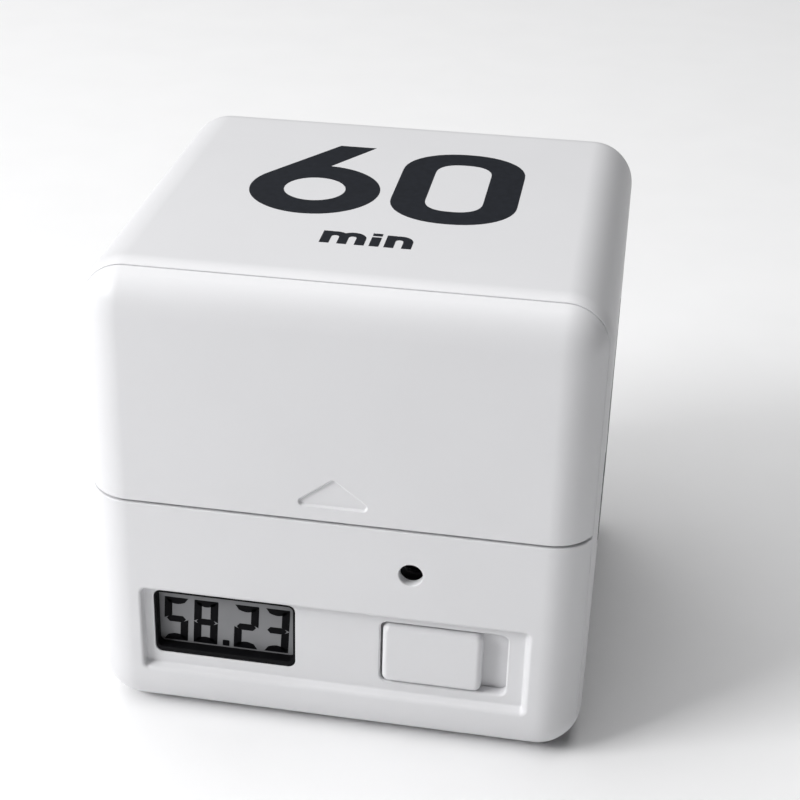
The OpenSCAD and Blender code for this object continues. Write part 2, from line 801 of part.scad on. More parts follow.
// Puts a cell in the bay: the upper one has its cap at the left, the lower one at the right
module cell_place(i) {
  flat_x = bay_half - plate_t - spring_len;
  translate([0, cell_y, cell_zs[i]]) mirror([i, 0, 0]) translate([-flat_x, 0, 0]) children();
}

// Contact plate against the bay's end wall, drawn at the right-hand end
module contact_plate(z, h) {
  block([bay_half - plate_t, cell_y - plate_w / 2, z - h / 2], [bay_half, cell_y + plate_w / 2, z + h / 2]);
}

// Dimple of a contact plate that meets a cell's cap, drawn at the right-hand end
module contact_dimple(z) {
  translate([bay_half - plate_t - dimple_h, cell_y, z]) rotate([0, 90, 0])
    cylinder(r1 = 1.2, r2 = 2, h = dimple_h + 0.1);
}

// Solder tab through the bay's floor, drawn at the right-hand end
module solder_tab(z) {
  block([bay_half - plate_t, cell_y, z - tab_w / 2], [bay_half, bay_floor_y + tab_l, z + tab_w / 2]);
}

// Contact at the upper cell's cap
module positive_contact() {
  color(steel) mirror([1, 0, 0]) {
    contact_plate(cell_zs[1], plate_w);
    contact_dimple(cell_zs[1]);
    solder_tab(cell_zs[1]);
  }
}

// Contact that carries the spring at the lower cell's flat end
module negative_contact() {
  color(steel) mirror([1, 0, 0]) {
    contact_plate(cell_zs[0], plate_w);
    solder_tab(cell_zs[0]);
  }
}

// Contact that links the two cells at the right-hand end
module link_contact() {
  color(steel) {
    for (z = cell_zs) contact_plate(z, plate_w);
    contact_bridge();
    contact_dimple(cell_zs[0]);
  }
}

// Bridge between the link contact's two plates, in the notch in front of the cells' axes
module contact_bridge() {
  block([bay_half - plate_t, cell_y - plate_w / 2, cell_zs[0]], [bay_half, cell_y - 0.3, cell_zs[1]]);
}

// Conical spring, wide end on its plate, drawn at the right-hand end
module cell_spring(z) {
  steps = 18;
  count = floor(spring_turns * steps);
  x1 = bay_half - plate_t - spring_wire - 0.01;
  x0 = x1 - spring_len + 2 * spring_wire + 0.03;
  route = [for (i = [0 : count])
    let (t = i / count, r = spring_base_r + (spring_tip_r - spring_base_r) * t, a = ring_angle(i, steps))
    [x1 + (x0 - x1) * t, cell_y + r * cos(a), z + r * sin(a)]];
  color(steel) tube(route, spring_wire, 8, [1, 0, 0]);
}

// Spring at the upper cell's flat end
module right_spring() {
  cell_spring(cell_zs[1]);
}

// Spring at the lower cell's flat end
module left_spring() {
  mirror([1, 0, 0]) cell_spring(cell_zs[0]);
}

// Lead from a contact's tab, behind the bay, down to the board
module wire(from_z, to_x, sag_y) {
  route = smooth_route([
    [-bay_half + plate_t + wire_r + 0.05, bay_floor_y + 1.2, from_z],
    [-bay_half + plate_t + wire_r + 0.05, bay_floor_y + 2.6, from_z - 1],
    [-bay_half + 1.6, sag_y, from_z - 4],
    [to_x - 1, sag_y + 0.4, 36],
    [to_x, sag_y - 1, 31],
    [to_x, board_back_y + 2, 28.6],
    [to_x, board_back_y + 0.1, 28.2]], 5);
  tube(route, wire_r, 10, [1, 0, 0.15]);
}

module red_wire() {
  color("firebrick") wire(cell_zs[1], -20, bay_floor_y + 4.6);
}

module black_wire() {
  color("dimgray") wire(cell_zs[0], -17, bay_floor_y + 2.4);
}

main_shell();
front_panel();
battery_door();
battery_tray();
tray_screws();
panel_screws();
circuit_board();
board_screws();
lcd_bezel();
lcd_holder();
lcd_front_glass();
lcd_rear_glass();
lcd_reflector();
zebra_strip();
switch_knob();
switch_slider();
switch_case();
switch_base();
buzzer_case();
buzzer_base();
buzzer_diaphragm();
buzzer_magnet();
buzzer_coil();
buzzer_gasket();
controller_chip();
clock_crystal();
capacitor();
chip_parts();
tilt_can(0);  // tilt_can_a
tilt_can(1);  // tilt_can_b
tilt_base(0);  // tilt_base_a
tilt_base(1);  // tilt_base_b
tilt_ball(0);  // tilt_ball_a
tilt_ball(1);  // tilt_ball_b
cell_place(0) cell_body();  // upper_cell
cell_place(0) cell_cap();  // upper_cell_cap
cell_place(1) cell_body();  // lower_cell
cell_place(1) cell_cap();  // lower_cell_cap
positive_contact();
negative_contact();
link_contact();
left_spring();
right_spring();
red_wire();
black_wire();
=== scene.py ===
"""Cube countdown timer: looks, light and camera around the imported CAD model.

Lengths inside the functions are millimetres in the model's own frame: front face along -Y, +Z up.
"""
import math

import bmesh
import bpy
from mathutils import Matrix, Vector


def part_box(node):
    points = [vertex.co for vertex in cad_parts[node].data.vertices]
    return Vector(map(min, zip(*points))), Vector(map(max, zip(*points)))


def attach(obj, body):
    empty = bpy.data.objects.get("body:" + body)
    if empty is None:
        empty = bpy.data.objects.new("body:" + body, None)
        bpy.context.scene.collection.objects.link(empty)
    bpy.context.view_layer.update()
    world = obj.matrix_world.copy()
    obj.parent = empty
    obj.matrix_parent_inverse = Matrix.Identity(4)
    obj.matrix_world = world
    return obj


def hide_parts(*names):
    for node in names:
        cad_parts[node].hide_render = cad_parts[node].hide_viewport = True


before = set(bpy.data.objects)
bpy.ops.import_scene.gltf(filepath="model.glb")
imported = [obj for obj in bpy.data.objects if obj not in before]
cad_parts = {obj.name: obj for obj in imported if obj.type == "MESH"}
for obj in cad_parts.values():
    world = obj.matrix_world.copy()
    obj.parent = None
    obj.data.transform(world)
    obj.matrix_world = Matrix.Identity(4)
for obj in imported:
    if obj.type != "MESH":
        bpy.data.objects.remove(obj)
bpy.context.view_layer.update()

MM = 0.001
scene = bpy.context.scene


def cad_box(node):
    """Lowest and highest corners of a CAD node, in millimetres."""
    low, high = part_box(node)
    return low / MM, high / MM


# ---- Sizes that the frame gives

shell_high = cad_box("main_shell")[1]
half_w = shell_high.x
back_y = shell_high.y
top_z = shell_high.z
middle_z = top_z / 2
front_y = cad_box("front_panel")[0].y
glass_y = cad_box("lcd_front_glass")[0].y
bezel_low, bezel_high = cad_box("lcd_bezel")
knob_low, knob_high = cad_box("switch_knob")

# ---- Sizes repeated from the CAD source

EDGE_R = 5.75
WALL = 2
COVER_WALL = 1.8
INNER_Y = front_y + COVER_WALL
FIT = 0.2

# The seam between the shell and the two front covers, and the one between the covers
SEAM_Y = front_y + 3.5
SEAM_GAP = 0.06
COVER_BACK_Y = SEAM_Y - SEAM_GAP / 2
DOOR_SEAM_Z = 32.4
DOOR_GAP = 0.35
PANEL_TOP_Z = DOOR_SEAM_Z - DOOR_GAP / 2

# The rim of the panel that slips into the shell
RIM_WALL = 1
RIM_Y = SEAM_Y + 1.4
# Above this the panel has nothing behind the seam
RIM_TOP_Z = 31.5
# Ledge along the panel's top, and the tongue that stands up from it behind the door's lower edge
LEDGE = dict(half_w=28.6, back=0.2, z0=DOOR_SEAM_Z - 1.6, z1=PANEL_TOP_Z - 0.02)
TONGUE = dict(half_w=24, front=0.25, back=0.3, z0=DOOR_SEAM_Z - 1, z1=DOOR_SEAM_Z + 1.4)

POCKET = dict(x0=-24.9, x1=24.8, z0=7.0, z1=19.5, depth=1.2, draft=0.45, r=0.75)
POCKET_Y = front_y + POCKET["depth"]
POCKET_BACK_Y = POCKET_Y + 1.5
POCKET_BACK = dict(x0=-26, x1=26.2, z0=5.6, z1=20.9)
SLOT = dict(x0=6.05, x1=22.15, z0=8.75, z1=17.9, r=0.9)
KNOB = dict(x0=6.35, x1=19.0, z0=9.0, z1=17.65, proud=0.45, r=0.95, rounding=0.75)
KNOB_FLANGE_Y = POCKET_BACK_Y + 0.1
GUIDE = dict(x0=1.5, x1=27.5, half_t=0.3, deep=1.3, off_slot=1.3)
WINDOW = dict(x0=-23.55, x1=-4.95, z0=9.05, z1=18.65, r=1.0)
BEZEL_FIT = 0.05
BEZEL_WALL = 0.3
BEZEL_FOOT = 0.8
FLANGE_RECESS = dict(wide=0.9, deep=0.3, r=0.5)
SOUND = dict(x=9.8, z=26.15, r=1.5, wall=1.25, step=0.8)
MARK = dict(half_w=3.7, h=2.8, r=0.6, z=35.1, depth=0.35, draft=0.2)

# Screw places (x, z), posts, bosses and pilot holes
PILOT_R = 1.0
TRAY_SCREWS = [(x, z) for x in (-27.3, 27.3) for z in (36.5, 57.5)]
BOSS_R = 1.75
BOSS_RIB = 1.1
BOSS_Y = (SEAM_Y + 2.3, SEAM_Y + 12.3)
BOSS_PILOT_Y = (SEAM_Y + 1, SEAM_Y + 11.3)
BOARD_SCREWS = ((-26, 28.5), (26, 28.5), (26, 5.7), (-0.4, 5.7))
BOARD_SCREW_L = 6
BOARD_Y = front_y + 9
PANEL_SCREWS = ((-20, 29.2), (20, 29.2))
PANEL_PILOT_Y = front_y + 1.2
POST_R = 2.1

# Inside of the door: lips that hook behind the tray's rails, and stiffening ribs
DOOR_INSIDE_Z = (34, 56)
LIP = dict(x0=26.1, x1=29.8, y0=SEAM_Y - 0.65, y1=SEAM_Y - 0.1, r=0.25)
RIB = dict(half_t=0.5, tall=0.7, r=0.3)
RIB_XS = (-12, 0, 12)

# Roundings that the CAD model leaves out
SEAM_FILLET = 0.12
DOOR_FILLET = 0.2
MOUTH_FILLET = 0.25
BEZEL_FILLET = 0.08

# How far a wall or post starts inside what it stands on
ROOT = 0.5
# Steps of an arc: the cube's own rounding, small loops and fillets
ROUND_STEPS = 16
LOOP_STEPS = 10
FILLET_STEPS = 4
# How far a cutter's flare stays above the face that it runs out into, and where the cutter starts
SKIM = 0.002
OUTSIDE = 2
# Sharpest corner that gets smooth shading, in degrees
SMOOTH_ANGLE = 32


# ---- Outlines, rings and lofts


def arc(cx, cy, r, start, end, steps):
    """Points of an arc in the plane, angles in degrees."""
    angles = [math.radians(start + (end - start) * i / steps) for i in range(steps + 1)]
    return [(cx + r * math.cos(a), cy + r * math.sin(a)) for a in angles]


def fillet(points, radii, steps=FILLET_STEPS):
    """An open polyline with its corners rounded; radii has one value for each point, 0 to keep it."""
    out = []
    for i, (p, r) in enumerate(zip(points, radii)):
        if r == 0 or i in (0, len(points) - 1):
            out.append(p)
            continue
        here = Vector(p)
        back = (Vector(points[i - 1]) - here).normalized()
        ahead = (Vector(points[i + 1]) - here).normalized()
        half = back.angle(ahead) / 2
        centre = here + (back + ahead).normalized() * (r / math.sin(half))
        first = here + back * (r / math.tan(half)) - centre
        last = here + ahead * (r / math.tan(half)) - centre
        sweep = first.angle_signed(last)
        for k in range(steps + 1):
            turned = first.copy()
            turned.rotate(Matrix.Rotation(-sweep * k / steps, 2))
            out.append(tuple(centre + turned))
    return out


def round_rect(x0, x1, z0, z1, r, steps=LOOP_STEPS):
    """Closed outline of a rectangle with rounded corners, anticlockwise from its lower right."""
    corners = ((x1 - r, z0 + r), (x1 - r, z1 - r), (x0 + r, z1 - r), (x0 + r, z0 + r))
    return [p for i, (x, z) in enumerate(corners) for p in arc(x, z, r, 90 * i - 90, 90 * i, steps)]


def round_triangle(cx, z, half, h, r, steps=LOOP_STEPS):
    """Closed outline of a triangle, point up, with rounded corners; half and h are those of its core."""
    slope = math.degrees(math.atan2(half, h))
    corners = ((cx - half, z, 180 - slope, 270), (cx + half, z, -90, slope), (cx, z + h, slope, 180 - slope))
    return [p for x, y, a, b in corners for p in arc(x, y, r, a, b, steps)]


def xz_ring(outline, y):
    return [Vector((x, y, z)) for x, z in outline]


def xy_ring(outline, z):
    return [Vector((x, y, z)) for x, y in outline]


def loft(rings):
    """Closed mesh through rings of equal length, with both ends filled."""
    mesh = bmesh.new()
    loops = [[mesh.verts.new(p) for p in ring] for ring in rings]
    count = len(loops[0])
    for a, b in zip(loops, loops[1:]):
        for i in range(count):
            mesh.faces.new((a[i], a[(i + 1) % count], b[(i + 1) % count], b[i]))
    mesh.faces.new(loops[0][::-1])
    mesh.faces.new(loops[-1])
    bmesh.ops.remove_doubles(mesh, verts=mesh.verts[:], dist=1e-5)
    bmesh.ops.dissolve_degenerate(mesh, dist=1e-6, edges=mesh.edges[:])
    bmesh.ops.recalc_face_normals(mesh, faces=mesh.faces[:])
    return mesh


def block(x0, x1, y0, y1, z0, z1, r=0.0):
    """Block, with its upright edges along Y rounded by r."""
    outline = round_rect(x0, x1, z0, z1, r, 4) if r else [(x1, z0), (x1, z1), (x0, z1), (x0, z0)]
    return loft([xz_ring(outline, y0), xz_ring(outline, y1)])


def rod(x, z, r, y0, y1, steps=LOOP_STEPS):
    """Rod along Y."""
    outline = round_rect(x - r, x + r, z - r, z + r, r, steps)
    return loft([xz_ring(outline, y0), xz_ring(outline, y1)])


def cube_ring(offset, y):
    """Ring of the cube's form: its core square moved out by offset, at depth y."""
    core = half_w - EDGE_R
    r = max(offset, 1e-4)
    outline = round_rect(-core - r, core + r, middle_z - core - r, middle_z + core + r, r, ROUND_STEPS)
    return xz_ring(outline, y)


def form_arc(inset, end, start_angle=0, end_angle=90):
    """Profile of the cube's rounding, drawn in by inset, at the front or the back: (offset, y) pairs."""
    centre = front_y + EDGE_R if end == "front" else back_y - EDGE_R
    way = -1 if end == "front" else 1
    r = EDGE_R - inset
    return [(u, centre + way * v) for u, v in arc(0, 0, r, start_angle, end_angle, ROUND_STEPS)]


def depth_angle(inset, y):
    """Angle along the front rounding, drawn in by inset, at which it reaches depth y."""
    return math.degrees(math.asin((front_y + EDGE_R - y) / (EDGE_R - inset)))


# ---- Solids as Blender objects


def new_object(name, mesh):
    """Object from a bmesh in millimetres."""
    bmesh.ops.scale(mesh, vec=(MM, MM, MM), verts=mesh.verts[:])
    data = bpy.data.meshes.new(name)
    mesh.to_mesh(data)
    mesh.free()
    made = bpy.data.objects.new(name, data)
    scene.collection.objects.link(made)
    return made


def combine(target, tools, operation):
    """Applies one boolean with each bmesh of tools."""
    for tool in tools:
        cutter = new_object("cutter", tool)
        modifier = target.modifiers.new("boolean", "BOOLEAN")
        modifier.operation = operation
        modifier.solver = "MANIFOLD"
        modifier.object = cutter
        apply_modifiers(target)
        data = cutter.data
        bpy.data.objects.remove(cutter)
        bpy.data.meshes.remove(data)


def apply_modifiers(target):
    """Replaces an object's mesh with what its modifiers make."""
    bpy.context.view_layer.update()
    graph = bpy.context.evaluated_depsgraph_get()
    made = bpy.data.meshes.new_from_object(target.evaluated_get(graph))
    old = target.data
    target.modifiers.clear()
    target.data = made
    bpy.data.meshes.remove(old)


def smooth(target):
    """Smooth shading with flats kept flat."""
    for face in target.data.polygons:
        face.use_smooth = True
    target.data.set_sharp_from_angle(angle=math.radians(SMOOTH_ANGLE))
    weighted = target.modifiers.new("weighted", "WEIGHTED_NORMAL")
    weighted.keep_sharp = True
    weighted.weight = 60


def tidy_mesh(target):
    """Joins doubled points and clears the slivers that the booleans leave."""
    mesh = bmesh.new()
    mesh.from_mesh(target.data)
    bmesh.ops.remove_doubles(mesh, verts=mesh.verts[:], dist=2e-7)
    bmesh.ops.dissolve_degenerate(mesh, dist=1e-7, edges=mesh.edges[:])
    mesh.to_mesh(target.data)
    mesh.free()


def finish_piece(target, material, body, node):
    """Shades a piece, gives it its material, says what it rides on and hides the CAD node that it stands
    for.
    """
    tidy_mesh(target)
    smooth(target)
    target.data.materials.clear()
    target.data.materials.append(material)
    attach(target, body)
    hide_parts(node)


# ---- Materials


class Nodes:
    """A material under construction: its node tree, object coordinates and shader."""

    def __init__(self, name):
        self.material = bpy.data.materials.new(name)
        self.material.use_nodes = True
        self.tree = self.material.node_tree
        self.shader = next(n for n in self.tree.nodes if n.type == "BSDF_PRINCIPLED")
        self.place = self.add("ShaderNodeTexCoord").outputs["Object"]

    def add(self, kind, inputs=()):
        """A node with its inputs linked or set."""
        node = self.tree.nodes.new(kind)
        for key, value in dict(inputs).items():
            if isinstance(value, bpy.types.NodeSocket):
                self.tree.links.new(value, node.inputs[key])
            else:
                node.inputs[key].default_value = value
        return node

    def noise(self, scale, detail=2.0, roughness=0.5, stretch=(1, 1, 1)):
        """Noise with scale features to the millimetre, more or fewer along each axis."""
        sizes = [s * scale / MM for s in stretch]
        place = self.add("ShaderNodeMapping", {"Vector": self.place, "Scale": sizes})
        inputs = {"Vector": place.outputs[0], "Scale": 1.0, "Detail": detail, "Roughness": roughness}
        return self.add("ShaderNodeTexNoise", inputs).outputs["Fac"]

    def ramp(self, factor, stops):
        """Colour ramp; stops are (position, colour)."""
        node = self.add("ShaderNodeValToRGB", {"Fac": factor})
        ramp = node.color_ramp
        for i, (position, colour) in enumerate(stops):
            stop = ramp.elements[i] if i < 2 else ramp.elements.new(position)
            stop.position = position
            stop.color = (*colour, 1)
        return node.outputs["Color"]

    def spread(self, factor, low, high):
        """Factor from 0 to 1 spread from low to high."""
        return self.add("ShaderNodeMapRange", {"Value": factor, "To Min": low, "To Max": high}).outputs[0]

    def bump(self, height, depth):
        """Normals of a relief; depth is in millimetres."""
        inputs = {"Height": height, "Distance": depth * MM, "Strength": 1.0}
        return self.add("ShaderNodeBump", inputs).outputs[0]

    def set(self, **sockets):
        """Sets or links the shader's sockets and gives the finished material."""
        for key, value in sockets.items():
            socket = self.shader.inputs[key.replace("_", " ")]
            if isinstance(value, bpy.types.NodeSocket):
                self.tree.links.new(value, socket)
            else:
                socket.default_value = value
        return self.material


def shade(colour, factor):
    return tuple(c * factor for c in colour)


def plastic(name, colour, rough, grain=6.0, grain_depth=0.004, vary=0.03, specular=0.5):
    """Moulded plastic: fine tool texture, faint clouds in colour and gloss."""
    n = Nodes(name)
    cloud = n.noise(0.06, 3)
    fine = n.noise(grain, 3, 0.6)
    scuff = n.noise(0.5, 4, 0.7)
    stops = [(0.3, shade(colour, 1 - vary)), (0.7, shade(colour, 1 + vary * 0.5))]
    return n.set(
        Base_Color=n.ramp(cloud, stops),
        Roughness=n.spread(scuff, rough - 0.04, rough + 0.06),
        Specular_IOR_Level=specular,
        Normal=n.bump(fine, grain_depth),
    )


def metal(name, colour, rough, stretch=(1, 1, 1), scale=2.0, depth=0.002, vary=0.12):
    """Plated metal with a drawn or tumbled surface."""
    n = Nodes(name)
    grain = n.noise(scale, 4, 0.6, stretch)
    cloud = n.noise(0.3, 3)
    return n.set(
        Base_Color=n.ramp(cloud, [(0.3, shade(colour, 1 - vary)), (0.7, colour)]),
        Metallic=1.0,
        Roughness=n.spread(grain, rough - 0.08, rough + 0.12),
        Normal=n.bump(grain, depth),
    )


def ink(name, colour, rough, specular=0.3):
    """Screen-printed ink: a little uneven, with the plastic's grain through it."""
    n = Nodes(name)
    mottle = n.noise(1.2, 4, 0.6)
    fine = n.noise(8.0, 3, 0.6)
    return n.set(
        Base_Color=n.ramp(mottle, [(0.3, shade(colour, 0.8)), (0.7, shade(colour, 1.25))]),
        Roughness=n.spread(fine, rough - 0.05, rough + 0.08),
        Specular_IOR_Level=specular,
        Normal=n.bump(fine, 0.003),
    )


def display_film():
    """Grey polariser over the reflector: faint mottling, soft sheen."""
    n = Nodes("display_film")
    cloud = n.noise(0.15, 2)
    fine = n.noise(14.0, 3, 0.6)
    colour = (0.235, 0.237, 0.246)
    return n.set(
        Base_Color=n.ramp(cloud, [(0.3, shade(colour, 0.94)), (0.7, shade(colour, 1.05))]),
        Roughness=n.spread(fine, 0.28, 0.36),
        Specular_IOR_Level=0.2,
        Normal=n.bump(fine, 0.002),
    )


def board_mask():
    """Green solder mask with the run of the copper below it."""
    n = Nodes("board_mask")
    brick = n.add(
        "ShaderNodeTexBrick",
        {
            "Vector": n.add("ShaderNodeMapping", {"Vector": n.place, "Scale": (1 / MM,) * 3}).outputs[0],
            "Scale": 0.35,
            "Mortar Size": 0.03,
            "Color1": (0.02, 0.16, 0.07, 1),
            "Color2": (0.018, 0.13, 0.06, 1),
            "Mortar": (0.04, 0.25, 0.11, 1),
        },
    )
    return n.set(Base_Color=brick.outputs["Color"], Roughness=n.spread(n.noise(1.0), 0.25, 0.4),
                 Normal=n.bump(brick.outputs["Fac"], 0.03))


def cell_sleeve():
    """Glossy dark plastic sleeve of a cell."""
    n = Nodes("cell_sleeve")
    fine = n.noise(3.0, 3)
    cloud = n.noise(0.1, 2)
    return n.set(
        Base_Color=n.ramp(cloud, [(0.3, (0.022, 0.024, 0.028)), (0.7, (0.032, 0.034, 0.04))]),
        Roughness=n.spread(fine, 0.22, 0.34),
        Normal=n.bump(fine, 0.003),
    )


WHITE = (0.735, 0.735, 0.75)
shell_white = plastic("shell_white", WHITE, 0.40, vary=0.012)
knob_white = plastic("knob_white", WHITE, 0.42, grain=7.0, vary=0.012)
tray_white = plastic("tray_white", (0.62, 0.62, 0.62), 0.5, grain=4.0, grain_depth=0.006)
black_plastic = plastic("black_plastic", (0.018, 0.018, 0.019), 0.5, grain=5.0, vary=0.1)
bezel_black = plastic("bezel_black", (0.004, 0.004, 0.005), 0.6, grain=9.0, vary=0.1, specular=0.1)
numeral_ink = ink("numeral_ink", (0.0135, 0.0155, 0.0205), 0.45)
segment_ink = ink("segment_ink", (0.003, 0.003, 0.004), 0.5, 0.06)
glass_film = display_film()
steel = metal("steel", (0.62, 0.62, 0.63), 0.32)
nickel = metal("nickel", (0.66, 0.63, 0.58), 0.25, scale=3.0)
gold = metal("gold", (0.75, 0.55, 0.25), 0.25)
copper = metal("copper", (0.60, 0.25, 0.13), 0.35, stretch=(1, 6, 1), scale=1.5, depth=0.02)
mask_green = board_mask()
foam = plastic("foam", (0.02, 0.02, 0.02), 0.9, grain=2.5, grain_depth=0.08, vary=0.2, specular=0.2)
resin = plastic("resin", (0.01, 0.01, 0.01), 0.22, grain=0.8, grain_depth=0.02)
laminate = plastic("laminate", (0.20, 0.10, 0.045), 0.45, grain=3.0)
ferrite = plastic("ferrite", (0.035, 0.035, 0.038), 0.55, grain=5.0, grain_depth=0.01)
zebra = plastic("zebra", (0.50, 0.22, 0.25), 0.6)
ceramic = plastic("ceramic", (0.32, 0.24, 0.15), 0.4)
capacitor_blue = plastic("capacitor_blue", (0.012, 0.02, 0.09), 0.25)
reflector = metal("reflector", (0.55, 0.56, 0.58), 0.3)
red_pvc = plastic("red_pvc", (0.42, 0.015, 0.012), 0.35, grain=3.0)
black_pvc = plastic("black_pvc", (0.012, 0.012, 0.012), 0.35, grain=3.0)
sleeve_dark = cell_sleeve()
sleeve_copper = metal("sleeve_copper", (0.72, 0.36, 0.18), 0.3, scale=4.0)


# ---- Covers and shell


def flared_cut(outline, profile):
    """Solid whose outline, as a function of offset, follows a profile of (offset, y) from the front back."""
    return loft([xz_ring(outline(u), y) for u, y in profile])


def rect_outline(place, left_lean=1.0):
    """Outline by offset; left_lean is how much of the walls' inward lean the left wall has."""

    def outline(u):
        left = u if u > 0 else u * left_lean
        r = max(place["r"] + u, 0.01)
        return round_rect(place["x0"] - left, place["x1"] + u, place["z0"] - u, place["z1"] + u, r)

    return outline


def inset(place, sides, foot):
    """A rectangle drawn in at its sides and top, and by another amount at its foot."""
    return dict(place, x0=place["x0"] + sides, x1=place["x1"] - sides,
                z0=place["z0"] + foot, z1=place["z1"] - sides, r=place["r"] - sides)


def from_outside(points, face_y):
    """Profile of a cutter that starts outside the face; its flare stays a skim above the face."""
    u = points[0][0]
    return [(u, face_y - OUTSIDE), (u, face_y - SKIM)] + points[1:]


def hole_profile(face_y, rim, deep_y):
    """Profile of a straight hole with a rounded rim in the face at face_y."""
    return from_outside(fillet([(3, face_y), (0, face_y), (0, deep_y)], [0, rim, 0])[1:], face_y)


def dip_profile(lean, floor_y, rim, foot):
    """Profile of a dip in the front face: rounded rim, walls that lean in, rounded foot."""
    points = [(3, front_y), (0, front_y), (-lean, floor_y), (-3, floor_y)]
    return from_outside(fillet(points, [0, rim, foot, 0])[1:-1], front_y)


def seam_cutter(seam_z, keep_above):
    """Block that keeps one side of the door seam, with the cube's edge rounded over along it."""
    way = -1 if keep_above else 1
    far_z = top_z + 1 if keep_above else -1
    r = DOOR_FILLET
    steps = [(1, far_z), (1, seam_z - way * r), (-SKIM, seam_z - way * (r - SKIM))]
    for degrees in range(20, 91, 14):
        t = math.radians(degrees)
        steps.append((-SKIM - (r - SKIM) * (1 - math.cos(t)), seam_z - way * r * (1 - math.sin(t))))

    def outline(u):
        return round_rect(-half_w - u, half_w + u, front_y - u, 5, EDGE_R + u, ROUND_STEPS)

    return loft([xy_ring(outline(u), z) for u, z in steps])


def make_main_shell():
    """Five-sided case with the four bosses for the tray's screws."""
    mouth_y = SEAM_Y + SEAM_GAP / 2
    front_arc = form_arc(0, "front", depth_angle(0, mouth_y), 0)[:: ROUND_STEPS // 4]
    inside = form_arc(WALL, "back", 90, 0)
    corners = [inside[-1], (EDGE_R - WALL, mouth_y)] + front_arc
    mouth = fillet(corners, [0, MOUTH_FILLET, SEAM_FILLET] + [0] * (len(front_arc) - 1))
    profile = inside[:-1] + mouth + form_arc(0, "back", 0, 90)
    shell = new_object("main_shell_skin", loft([cube_ring(u, y) for u, y in profile]))
    bosses = []
    for x, z in TRAY_SCREWS:
        wall_x = math.copysign(half_w - WALL / 2, x)
        bosses.append(rod(x, z, BOSS_R, *BOSS_Y))
        bosses.append(block(min(x, wall_x), max(x, wall_x), *BOSS_Y, z - BOSS_RIB, z + BOSS_RIB))
    combine(shell, bosses, "UNION")
    combine(shell, [rod(x, z, PILOT_R, *BOSS_PILOT_Y) for x, z in TRAY_SCREWS], "DIFFERENCE")
    finish_piece(shell, shell_white, "housing", "main_shell")


def cover(name, inside):
    """Front cover before it is cut along the door seam: flat front, rounding, seam, then what is inside."""
    outer = form_arc(0, "front", 90, depth_angle(0, COVER_BACK_Y))
    outer = outer[:-3] + [outer[-1]]
    radii = [0] * (len(outer) - 1) + [SEAM_FILLET] + [0] * len(inside)
    return new_object(name, loft([cube_ring(u, y) for u, y in fillet(outer + inside, radii)]))


def panel_extras():
    """What stands on the panel's inner side: pocket walls, door ledge and tongue, knob guides, posts."""
    root_y = INNER_Y - ROOT
    extras = [
        block(POCKET_BACK["x0"], POCKET_BACK["x1"], root_y, POCKET_BACK_Y,
              POCKET_BACK["z0"], POCKET_BACK["z1"]),
        block(-LEDGE["half_w"], LEDGE["half_w"], root_y, SEAM_Y - LEDGE["back"], LEDGE["z0"], LEDGE["z1"]),
        block(-TONGUE["half_w"], TONGUE["half_w"], INNER_Y + TONGUE["front"], SEAM_Y - TONGUE["back"],
              TONGUE["z0"], TONGUE["z1"]),
    ]
    knob_z = (SLOT["z0"] + SLOT["z1"]) / 2
    off = (SLOT["z1"] - SLOT["z0"]) / 2 + GUIDE["off_slot"]
    for z in (knob_z - off, knob_z + off):
        extras.append(block(GUIDE["x0"], GUIDE["x1"], POCKET_BACK_Y - ROOT, POCKET_BACK_Y + GUIDE["deep"],
                            z - GUIDE["half_t"], z + GUIDE["half_t"]))
    extras += [rod(x, z, POST_R, root_y, BOARD_Y) for x, z in BOARD_SCREWS]
    extras += [rod(x, z, POST_R, root_y, SEAM_Y + 0.05) for x, z in PANEL_SCREWS]
    return extras


def panel_cuts():
    """Pocket, window, slot, sound hole and the pilot holes of the panel."""
    x, z, r = SOUND["x"], SOUND["z"], SOUND["r"]

    def sound_outline(u):
        return round_rect(x - r - u, x + r + u, z - r - u, z + r + u, r + u, 12)

    recess = FLANGE_RECESS["wide"]
    cuts = [
        flared_cut(rect_outline(POCKET, 0.35), dip_profile(POCKET["draft"], POCKET_Y, 0.6, 0.3)),
        flared_cut(rect_outline(WINDOW), hole_profile(POCKET_Y, 0.1, SEAM_Y)),
        flared_cut(rect_outline(SLOT), hole_profile(POCKET_Y, 0.3, SEAM_Y)),
        flared_cut(sound_outline, hole_profile(front_y, 0.15, INNER_Y + 1)),
        rod(x, z, r + SOUND["step"], front_y + SOUND["wall"], INNER_Y + 1, 12),
        block(WINDOW["x0"] - recess, WINDOW["x1"] + recess, POCKET_BACK_Y - FLANGE_RECESS["deep"], BOARD_Y,
              WINDOW["z0"] - recess, WINDOW["z1"] + recess, FLANGE_RECESS["r"]),
    ]
    cuts += [rod(x, z, PILOT_R, BOARD_Y - BOARD_SCREW_L, BOARD_Y + 1) for x, z in BOARD_SCREWS]
    cuts += [rod(x, z, PILOT_R, PANEL_PILOT_Y, SEAM_Y + 1) for x, z in PANEL_SCREWS]
    return cuts


def make_front_panel():
    """Lower front cover, with the rim that slips into the shell."""
    rim = EDGE_R - WALL - FIT
    rim_in = rim - RIM_WALL
    meet = math.degrees(math.acos(rim_in / (EDGE_R - COVER_WALL)))
    inside = [(rim, COVER_BACK_Y), (rim, RIM_Y), (rim_in, RIM_Y)] + form_arc(COVER_WALL, "front", meet, 90)
    panel = cover("front_panel_skin", inside)
    combine(panel, [seam_cutter(PANEL_TOP_Z, False)], "INTERSECT")
    combine(panel, [block(-40, 40, COVER_BACK_Y + 0.01, 0, RIM_TOP_Z, 40)], "DIFFERENCE")
    combine(panel, panel_extras(), "UNION")
    combine(panel, panel_cuts(), "DIFFERENCE")
    finish_piece(panel, shell_white, "housing", "front_panel")


